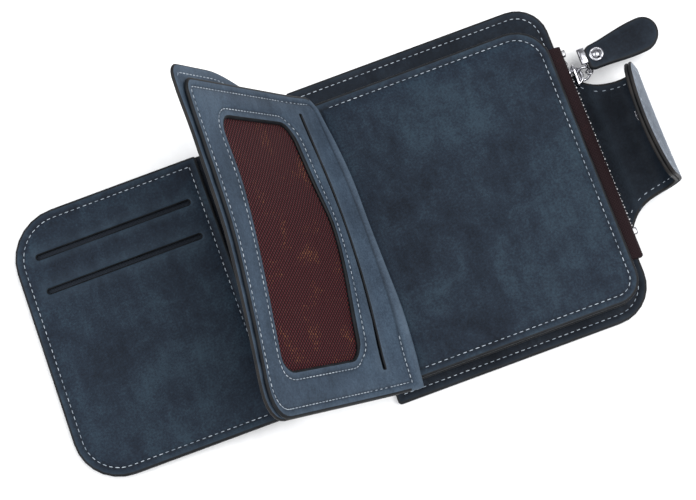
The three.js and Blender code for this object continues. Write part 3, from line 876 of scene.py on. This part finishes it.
def repeated(name, tree, spots, values, body=None, **finish):
    """One plain mesh of the tree's unit at every spot, each (place in metres, along, out)."""
    seed_mesh = bpy.data.meshes.new(name)
    seed_mesh.from_pydata([tuple(spot[0]) for spot in spots], [], [])
    for label, k in (("along", 1), ("out", 2)):
        turns = seed_mesh.attributes.new(label, "FLOAT_VECTOR", "POINT")
        turns.data.foreach_set("vector", [c for spot in spots for c in spot[k]])
    piece = linked(name, seed_mesh)
    modifier = piece.modifiers.new("rule", "NODES")
    modifier.node_group = tree
    for socket in tree.interface.items_tree:
        if socket.in_out == "INPUT" and socket.name in values:
            modifier[socket.identifier] = values[socket.name]
    bpy.context.view_layer.update()
    made = bpy.data.meshes.new_from_object(piece.evaluated_get(bpy.context.evaluated_depsgraph_get()))
    piece.modifiers.remove(modifier)
    bpy.data.objects.remove(piece)
    made.name = name
    made.materials.clear()
    made.polygons.foreach_set("material_index", [0] * len(made.polygons))
    return finished(name, made, [values["Material"]], body=body, flip=False, **finish)


# ---- Main panel ----


def build_cover():
    """The main panel's outer and inner leather, sewn together along their rim."""
    panel("cover_shell", COVER, *COVER_SHELL, (OUTER, EDGE, OUTER), crown=0.0, step=8, body="cover",
          replaces=["cover_outer"], slot="outer_leather")
    _, top = panel("cover_facing", COVER, *COVER_FACING, (OUTER, EDGE, OUTER), crown=0.05, step=4,
                   body="cover", replaces=["cover_lining", "cover_board"], slot="facing_leather")
    sew("cover", part_of(COVER, SEAM_INSET), lying, top)
    sew("cover", part_of(COVER, SEAM_INSET), lying, under(COVER_SHELL), outwards=-1)


def build_pouch():
    """The bill compartment's folded wall and, above it, the pouch: its back, its side wall and its front."""
    folded = [(-0.9, 3.0), (-2.1, 5.0), (-2.3, 5.2), (-0.9, 7.3), (-0.4, 7.3), (-1.7, 5.25), (-1.7, 5.05),
              (-0.4, 3.0)]
    below_opening = part_of(POUCH, 0.6, lambda x, y: y <= 35.3 or x <= -39)
    sweep("bill_wall", below_opening, folded, (LINING,), body="cover", replaces=["bill_gusset"],
          slot="lining_cloth")
    plain_panel("pouch_back_leather", POUCH, *POUCH_BACK, (FACING, EDGE, FACING), body="cover",
                replaces=["pouch_back"], slot="facing_leather")
    wall = [(0.0, 8.65), (-0.25, 9.4), (-0.9, 10.8), (-0.25, 12.3), (0.0, 13.1), (-1.0, 13.1), (-1.3, 12.2),
            (-1.9, 10.8), (-1.3, 9.5), (-1.0, 8.65)]
    beside_zip = part_of(POUCH, 0.35, lambda x, y: not (x > 36.5 and ZIP_BOTTOM < y < ZIP_TOP))
    sweep("pouch_wall", beside_zip, wall, (OUTER,), body="cover", replaces=["pouch_gusset"],
          slot="outer_leather")
    _, top = panel("pouch_front_leather", POUCH, *POUCH_FRONT, (FACING, EDGE, OUTER), crown=0.55, step=3,
                   body="cover", replaces=["pouch_front"], slot="facing_leather")
    sew("cover", part_of(POUCH, SEAM_INSET, lambda x, y: x > -37), lying, top)


def build_page_hinge():
    """The leather leaf beside the pouch, and the strip that carries it round to the page's fold."""
    upright, length = along([(-44.8, 3.0), (-44.9, 8.0), (-44.9, 14.0)])
    bottom, top = POUCH[0][2:]
    plain_panel("hinge_leaf_leather", even(0, length, bottom, top, 0.6), -0.5, 0.5, (PAGE_LIT_NUBUCK, EDGE, PAGE_LIT_NUBUCK),
                place=upright, body="cover", replaces=["hinge_leaf"], slot="page_leather")
    width = 12

    def strip(s, y, w):
        edge = page_line(0.4, y).x
        path = [(-44.9, 13.4), (-44.6, 14.9), (-42.6, 15.6), (edge - 2.4, 15.5), (edge - 0.9, 15.8),
                (edge - 0.45, 16.5), (edge - 1.4, 16.95)]
        place, whole = along(path)
        return place(s / width * whole, y, w)

    return plain_panel("page_fold_leather", even(0, width, -55.0, 47.0, 1), -0.4, 0.4, PAGE_LIT_NUBUCK, place=strip,
                       step=2.0, replaces=["page_roll"], slot="page_leather")


# ---- Page ----


def build_page():
    """The raised page. Its layers are drawn flat and laid behind each other on its bowed face."""
    left, right = PAGE_SLIT[0][:2]
    slit_middle, slit_half = (left + right) / 2, (right - left) / 2
    leaf = (0.0, 1.15)

    def back_of(u, v, z):
        """Behind the bowed face. The slit gapes near its two ends and is all but shut between them."""
        gape = 0.05 + 0.45 * smooth((abs(v + 2.7) - 24) / 14)
        off = u - slit_middle
        fade = math.exp(-max(abs(off) - slit_half, 0) / 1.2)
        shift = math.copysign((gape - slit_half) * min(abs(off) / slit_half, 1), off) * fade
        return page_place(u + shift, v, leaf[1] - z)

    def rear(u, v, z):
        """The back leaf: its top slopes down towards the fold, and its free edge is drawn in lower down."""
        drop = 9.0 * smooth((64 - u) / 45) * smooth((v - 30) / 26)
        drawn = 1.5 * smooth(u / 80) * (1 - smooth((v - 34) / 18))
        return page_place(u - drawn, v - drop, 2.1 + z)

    front, top = panel(
        "page_front_leather", PAGE, *leaf, (PAGE_LIT_NUBUCK, EDGE, PAGE_LIT_NUBUCK), place=back_of,
        holes=[(WINDOW, SEAM_INSET), (PAGE_SLIT, None)], crown=0.12, step=2.6, rounding=0.5,
        painted=lambda u, v: u > 5, body="page", replaces=["page_front"], slot="page_leather",
    )
    net = plain_panel("window_net", even(19, 73.5, -48, 43, 6), -0.3, -0.05, MESH, place=back_of, step=3,
                      rounding=0.1, body="page", replaces=["window_mesh"], slot="window_mesh")
    pocket = plain_panel("page_pocket_cloth", even(15.8, 77.5, -52, 44, 6), -0.8, -0.5, LINING,
                         place=back_of, step=5, rounding=0.1, body="page", replaces=["page_pocket"],
                         slot="lining_cloth")
    back, behind = panel("page_back_leather", PAGE_BACK, *leaf, (OUTER, BROWN_EDGE, PAGE_LIT_NUBUCK), place=rear,
                         crown=0.1, step=4, rounding=0.5, body="page", replaces=["page_back"],
                         slot="outer_leather")
    sew("page", part_of(PAGE, SEAM_INSET, lambda u, v: u > 6 or v < -38), back_of, top, PAGE_PITCH)
    sew("page", part_of(WINDOW, -SEAM_INSET), back_of, top, PAGE_PITCH)
    sew("page", part_of(PAGE_BACK, SEAM_INSET), rear, behind)
    sew("page", part_of(PAGE_BACK, SEAM_INSET, lambda u, v: v > 51 and u > 25), rear, under(leaf),
        outwards=-1)
    return [front, net, pocket, back]


# ---- Spine and flap ----


def build_spine_and_flap():
    """The spine strip, the card flap with its two slits, and the leather that bends between them."""
    (left, _, bottom, top), corners = FLAP
    plain_panel("spine_outer_leather", SPINE, *SPINE_OUTER, (OUTER, EDGE, OUTER), step=5, body="spine",
                replaces=["spine_outer"], slot="outer_leather")
    plain_panel("spine_lining_leather", SPINE, *SPINE_LINING, (FACING, EDGE, FACING), crown=0.1, step=4,
                body="spine", replaces=["spine_lining"], slot="facing_leather")
    folds = []
    for name, a, b in (("cover_fold_strip", -51.4, -46.6), ("flap_fold_strip", -71.2, -65.6)):
        middle = (a + b) / 2
        place, length = along([(a, 3.2), (middle - 0.8, 3.05), (middle, 2.95), (middle + 0.8, 3.05),
                               (b, 3.2)])
        piece = plain_panel(name, even(0, length, bottom + 1, top - 1, 0.8), -0.35, 0.35,
                            (OUTER, EDGE, OUTER), place=place, step=1.2, rounding=0.2, slot="outer_leather")
        folds.append((piece, a, b))
    panel("flap_outer_leather", FLAP, *FLAP_OUTER, (LINING, EDGE, OUTER), crown=0.0, step=6, body="flap",
          replaces=["flap_outer"], slot="outer_leather")
    middle = sum(SLIT_HEIGHTS) / 2
    for name, low, high, radii in (
        ("upper", middle + 0.2, 46, (1, 14, 1, 1)),
        ("lower", -46, middle - 0.2, (1, 1, 14, 1)),
    ):
        cloth = plain_panel("flap_pocket_cloth_" + name, ((-156, -88, low, high), radii), *FLAP_POCKET,
                            LINING, step=6, rounding=0.1, body="flap", replaces=["card_pocket_" + name],
                            slot="lining_cloth")
    facing = ((left, FACING_RIGHT, bottom, top), corners)
    _, face = panel("flap_facing_leather", facing, *FLAP_FACING, (FACING, EDGE, FACING),
                    holes=[(slit, None) for slit in SLITS], crown=0.4, step=3, lip=0.22, body="flap",
                    replaces=["flap_facing"], slot="facing_leather")
    sew("flap", part_of(facing, FLAP_SEAM_INSET), lying, face)
    sew("flap", part_of(FLAP, FLAP_SEAM_INSET), lying, under(FLAP_OUTER), outwards=-1)
    return folds


# ---- Zipper ----


def metal(name, parts, material, body, replaces, slot="zip_metal"):
    """Several parts as one metal piece."""
    finished(name, together(name, parts), [material], body=body, replaces=[replaces], slot=slot)


def build_zipper():
    """Two tapes that run out of the pouch and meet, a row of teeth on each, and the stops."""
    for side, sign, flat_z in (("upper", 1, 12.5), ("lower", -1, 9.1)):
        edge = ZIP_Z + sign * 0.9
        shoulder = ZIP_Z + sign * 2.0
        place, length = along([(39.5, flat_z), (45.0, flat_z), (46.8, (flat_z + shoulder) / 2),
                               (48.2, shoulder), (48.9, edge + sign * 0.3)])
        plain_panel("zip_tape_cloth_" + side, even(0, length, ZIP_BOTTOM - 3.0, ZIP_TOP + 1.0, 0.3), -0.2,
                    0.22, TAPE, place=place, step=1.6, rounding=0.1, body="cover",
                    replaces=["zip_tape_" + side], slot="zip_tape")
    tooth = linked("tooth", together("tooth", [
        bevelled_box((-0.42, -0.4, -0.6), (0.42, 0.4, 0.35), 0.16, 1),
        bevelled_box((-0.28, -0.3, 0.25), (0.28, 0.3, 0.75), 0.12, 1),
    ]))
    tree = tooth_tree()
    for side, sign, offset in (("upper", 1, 0.25), ("lower", -1, 0.75)):
        spots = []
        for i in range(TEETH_COUNT):
            y = TEETH_BOTTOM + TEETH_PITCH * (i + offset)
            spots.append((lying(ZIP_X, y, ZIP_Z + sign * 0.62), (0, 1, 0), (0, 0, -sign)))
        repeated("zip_teeth_" + side + "_row", tree, spots,
                 {"Tooth": tooth, "Size": 1.0, "Material": NICKEL}, body="cover",
                 replaces=["zip_teeth_" + side], slot="zip_metal")
    bpy.data.objects.remove(tooth)
    top = TEETH_BOTTOM + TEETH_PITCH * TEETH_COUNT + 1.3
    for side, low, high in (("upper", ZIP_Z + 0.2, ZIP_Z + 1.3), ("lower", ZIP_Z - 1.3, ZIP_Z - 0.2)):
        stop = bevelled_box((48.2, top, low), (50.2, top + 2.2, high), 0.3, 2)
        metal("zip_top_stop_" + side, [stop], NICKEL, "cover", "zip_stop_" + side)
    end = bevelled_box((48.0, TEETH_BOTTOM - 2.8, ZIP_Z - 1.2),
                       (50.4, TEETH_BOTTOM - 0.4, ZIP_Z + 1.2), 0.4, 3)
    metal("zip_bottom_stop", [end], NICKEL, "cover", "zip_end_stop")


def build_slider():
    """The slider: an outer and a smaller inner plate joined by a post, and a bail that holds the pull's
    ring."""
    side_on = Matrix(((0, 0, 1, 0), (1, 0, 0, SLIDER_Y), (0, 1, 0, ZIP_Z), (0, 0, 0, 1)))
    shield = [(-4.0, -1.5), (-3.4, -2.2), (-0.5, -2.5), (1.8, -3.1), (3.3, -2.9), (4.0, -2.1), (4.0, 2.1),
              (3.3, 2.9), (1.8, 3.1), (-0.5, 2.5), (-3.4, 2.2), (-4.0, 1.5)]
    turns = [math.radians(t) for t in range(0, 181, 12)]
    bail = [(50.55 + 2.3 * math.sin(t), SLIDER_Y - 2.7 * math.cos(t), ZIP_Z) for t in turns]
    metal("slider_body", [
        prism(shield, 50.25, 50.95, side_on, 0.2),
        prism([(y, z * 0.42) for y, z in shield], 46.9, 47.6, side_on, 0.2),
        bevelled_box((47.3, SLIDER_Y + 1.5, ZIP_Z - 0.25), (50.6, SLIDER_Y + 3.7, ZIP_Z + 0.25), 0.1, 1),
        tube(bail, 0.5, 10, flatten=1.5),
    ], CHROME, "slider", "zip_slider")
    tilt = Matrix.Translation((53.55, SLIDER_Y, ZIP_Z)) @ Matrix.Rotation(math.radians(42), 4, "X")
    metal("pull_ring_wire", [tube(circle(tilt, 2.5, 40), 0.48, 12, True)], CHROME, "ring", "pull_ring",
          "polished_metal")


def build_pull():
    """The pull: an eye and a clasp on the end of a two-layer leather tab, held by a domed rivet."""
    z = 11.8
    turn = Matrix.Translation((55.85, SLIDER_Y, ZIP_Z)) @ Matrix.Rotation(math.radians(-30), 4, "X")
    stem = [(55.9, SLIDER_Y + 0.9, ZIP_Z + 0.2), (55.6, SLIDER_Y + 1.8, ZIP_Z + 0.9),
            (55.2, SLIDER_Y + 3.2, z - 0.2), (55.1, SLIDER_Y + 4.4, z)]
    clasp = prism([(-1.0, -1.2), (1.3, -1.2), (1.3, 1.2), (-1.0, 1.2), (-1.3, 0.7), (-1.3, -0.7)],
                  SLIDER_Y + 2.6, SLIDER_Y + 8.3,
                  Matrix(((1, 0, 0, 55.1), (0, 0, 1, 0), (0, 1, 0, z), (0, 0, 0, 1))), 0.25)
    metal("pull_clasp", [tube(circle(turn, 1.15, 28), 0.38, 10, True), tube(stem, 0.5, 10), clasp], CHROME,
          "pull", "pull_clip", "polished_metal")

    def tapered(x, y, w):
        """The tab narrows towards its rivet and leans a little."""
        middle = 31.05 + (x - 59) * 0.086
        return lying(x, middle + (y - 32.55) * (0.72 + 0.28 * smooth((x - 57) / 19)), w)

    for side, low, high, crown in (("lower", z - 1.2, z - 0.05, 0.0), ("upper", z + 0.05, z + 1.2, 0.22)):
        plain_panel("pull_tab_leather_" + side, TAB, low, high, (OUTER, EDGE, OUTER), crown=crown, step=1.4,
                    rounding=0.55, place=tapered, body="pull", replaces=["pull_leather_" + side],
                    slot="outer_leather")
    dome = [(0.01, -1.75), (1.5, -1.75), (1.95, -1.55), (2.0, -1.3), (0.85, -1.2), (0.85, 1.2), (2.45, 1.25),
            (2.6, 1.45), (2.5, 1.62), (2.1, 1.7), (1.95, 1.62), (1.75, 1.85), (1.3, 2.25), (0.7, 2.5),
            (0.01, 2.58)]
    turned("pull_rivet_cap", dome, Matrix.Translation((*RIVET, z)), [CHROME], 40, body="pull",
           replaces=["pull_rivet"], slot="polished_metal")


# ---- Strap and snap ----


def strap_line():
    """The strap's middle line from the side, and how far along it the fold, the curl and the tip begin."""
    leg = math.radians(STRAP_LEG_ANGLE)
    tip = math.radians(TIP_ANGLE)
    fold = Vector(STRAP_FOLD)
    end = fold + Vector((math.cos(leg), math.sin(leg))) * STRAP_LEG
    centre = end + Vector((-math.sin(leg), math.cos(leg))) * CURL_RADIUS
    curl = arc(centre, CURL_RADIUS, STRAP_LEG_ANGLE - 90, TIP_ANGLE - 90, 20)
    last = Vector(curl[-1])
    onwards = Vector((math.cos(tip), math.sin(tip)))
    straight = [tuple(last + onwards * d) for d in (3, 6, 9, 12, 15, TIP_LENGTH)]
    start = [(46.8, 2.15), (48.6, 2.45), (50.6, 2.7), (52.0, 2.85), tuple(fold + Vector((0.3, 0.05)))]
    return [*start, tuple(fold.lerp(end, 0.5)), *curl, *straight], last



def strap_half_width(s):
    """Half the strap's width, a distance s from where it leaves the panel."""
    return min(21.0 + 8.0 * math.exp(-(s - 4.4) / 5.2), 29.5)


def build_strap():
    """The strap in two lengths, each of two leathers: the root beside the panel and the band that curls
    over."""
    path, curl_end = strap_line()
    run, length = along(path)
    curl_start = length - TIP_LENGTH - 8.0
    half, face = STRAP_HALF_WIDTH, 1.3

    def place(s, t, w):
        """On the strap: it flares towards the panel, and its end bows outwards at both sides."""
        point = run(s, 0, w)
        point.y = (STRAP_Y + t * strap_half_width(s) / half) * MM
        point.x += (1.9 * (t / half) ** 2 - 0.2) * smooth((s - curl_start) / (length - curl_start)) * MM
        return point

    def layers(name, start, end, radii, painted, outer_nodes, lining_nodes=()):
        outline = ((start, end, -half, half), radii)
        alike = {"place": place, "step": 1.8, "rounding": 0.5, "painted": painted, "slot": "outer_leather"}
        # The outer layer's outer face is painted pale, as painted light.
        return [
            plain_panel(name + "_outer", outline, -face, -0.06, (OUTER, BROWN_EDGE, STRAP_LIT_NUBUCK),
                        replaces=outer_nodes, **alike),
            plain_panel(name + "_lining", outline, 0.06, face, (OUTER, BROWN_EDGE, OUTER),
                        replaces=lining_nodes, **alike),
        ]

    join, lap = 8.4, 0.53
    parts = {
        "strap_root": layers(
            "strap_root", 0.0, join + lap, (0.2,) * 4, lambda s, t: abs(t) > half - 1.2, ["strap_root"]
        ),
        "strap_band": layers(
            "strap_band", join - lap, length, (4.5, 0.2, 0.2, 4.5), lambda s, t: s > join + 1,
            ["strap_leg_outer", "strap_tip_outer"], ["strap_leg_lining", "strap_tip_lining"],
        ),
    }

    def sides(first, last, count=60):
        steps = [first + (last - first) * i / count for i in range(count + 1)]
        return [[(s, side * (half - 2.6)) for s in steps] for side in (1, -1)]

    across = [(length - 3, t) for t in range(-19, 20)]
    for key, seams in (("strap_root", sides(1.5, join)), ("strap_band", [*sides(join, length - 3), across])):
        for line in seams:
            sew(key, line, place, lambda s, t: face - STITCH_GAP, STRAP_PITCH)
            sew(key, line, place, lambda s, t: STITCH_GAP - face, STRAP_PITCH, outwards=-1)
    return parts, curl_end


def build_snap(curl_end):
    """The stud on the strap's inner face, and the socket's ring on the flap's outer face."""
    tip = math.radians(TIP_ANGLE)
    normal = Vector((-math.sin(tip), 0, math.cos(tip)))
    run = Vector((math.cos(tip), 0, math.sin(tip)))
    at = Vector((curl_end[0], SNAP_Y, curl_end[1])) + run * SNAP_FROM_CURL + normal * 1.32
    axis = Matrix.Translation(at) @ Vector((0, 0, 1)).rotation_difference(normal).to_matrix().to_4x4()
    stud = [(0.01, -0.3), (2.6, -0.3), (2.9, -0.05), (2.85, 0.18), (2.3, 0.3), (2.05, 0.16), (1.62, 0.3),
            (1.5, 0.55), (1.5, 0.8), (1.85, 1.1), (1.8, 1.35), (1.3, 1.55), (0.9, 1.5), (0.6, 1.2),
            (0.01, 1.1)]
    turned("snap_stud_cap", stud, axis, [CHROME], 40, body="strap_tip", replaces=["snap_stud"],
           slot="polished_metal")
    lowest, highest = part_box("snap_socket")
    middle = (lowest + highest) / 2 / MM
    ring = [(2.3, 1.95), (2.25, 0.9), (2.5, 0.6), (3.1, 0.5), (4.2, 0.5), (4.75, 0.7), (5.0, 1.1),
            (5.0, 1.5), (4.7, 2.15), (2.6, 2.15), (2.3, 1.95)]
    axis = Matrix.Translation((middle.x, middle.y, 0))
    turned("snap_socket_ring", ring, axis, [CHROME], 48, body="flap", replaces=["snap_socket"],
           slot="polished_metal")


# ---- Light, floor and camera ----


def build_stage():
    """A pale floor, a large soft light over the right-hand side, and a weaker one from the left."""
    bpy.ops.mesh.primitive_plane_add(size=6, location=(0, 0, -0.0002))
    floor = bpy.context.object
    floor.name = "floor"
    paper, tree, shader, place = new_material("pale_paper_floor", {"IOR": 1.4})
    tooth = mottle(tree, place, 4, 3)
    tree.links.new(ramp(tree, tooth, [(0.3, "#f2f2f2"), (0.7, "#f7f7f7")]), shader.inputs["Base Color"])
    tree.links.new(spread(tree, tooth, {"To Min": 0.8, "To Max": 0.95}), shader.inputs["Roughness"])
    floor.data.materials.append(paper)
    world = bpy.data.worlds.new("studio")
    world.use_nodes = True
    world.node_tree.nodes["Background"].inputs["Color"].default_value = linear("#f4f6fa")
    world.node_tree.nodes["Background"].inputs["Strength"].default_value = 0.72
    bpy.context.scene.world = world
    middle = Vector((-0.045, 0.0, 0.02))
    for name, place, size, power in (
        ("key_light", (0.45, -0.15, 1.3), 0.8, 17.0),
        ("fill_light", (-0.8, 0.2, 1.0), 1.0, 8.0),
    ):
        lamp = bpy.data.lights.new(name, "AREA")
        lamp.energy = power
        lamp.size = size
        lamp_object = linked(name, lamp)
        lamp_object.location = place
        lamp_object.rotation_euler = (middle - Vector(place)).to_track_quat("-Z", "Y").to_euler()
    bpy.context.scene.view_settings.view_transform = "Standard"
    bpy.context.scene.view_settings.look = "None"


def build_camera():
    lens = bpy.data.cameras.new("camera")
    lens.lens = 88.14
    lens.sensor_width = 36.0
    lens.clip_start = 0.05
    camera = linked("camera", lens)
    camera.matrix_world = (
        Matrix.Translation((-0.0465, -0.1093, 0.6))
        @ Matrix.Rotation(math.radians(10.19), 4, "X")
        @ Matrix.Rotation(math.radians(-20.27), 4, "Z")
    )
    bpy.context.scene.camera = camera


# ---- The whole wallet ----

build_camera()
build_stage()
build_cover()
build_pouch()
fold_piece = build_page_hinge()
page_pieces = build_page()
fold_strips = build_spine_and_flap()
build_zipper()
build_slider()
build_pull()
strap_parts, curl_end = build_strap()
build_snap(curl_end)

thread_tree = stitch_tree()
stitch = {"Length": STITCH_LENGTH * MM, "Thickness": STITCH_THICKNESS * MM, "Dip": STITCH_DIP * MM,
          "Seed": 11, "Material": THREAD}
threads = {}
for key, spots in SEAMS.items():
    body = key if key in frame["bodies"] else None
    threads[key] = repeated("stitches_" + key, thread_tree, spots, stitch, body=body)

# The page pieces and their stitches get meshes of their own, and the fold strips and the strap's pieces and
# stitches have their placing baked into their meshes.
for piece in [*page_pieces, threads["page"]]:
    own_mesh(piece)
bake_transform(fold_piece)
for piece, left, right in fold_strips:
    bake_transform(piece)
for piece in [*strap_parts["strap_root"], threads["strap_root"]]:
    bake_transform(piece)
tip_turn = math.radians(TIP_ANGLE)
for piece in [*strap_parts["strap_band"], threads["strap_band"]]:
    ends = [
        ((curl_end[0] + d * math.cos(tip_turn)) * MM, 0,
         (curl_end[1] + d * math.sin(tip_turn)) * MM) for d in (-3, 3)
    ]
    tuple(ends[0])
    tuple(ends[1])
    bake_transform(piece)
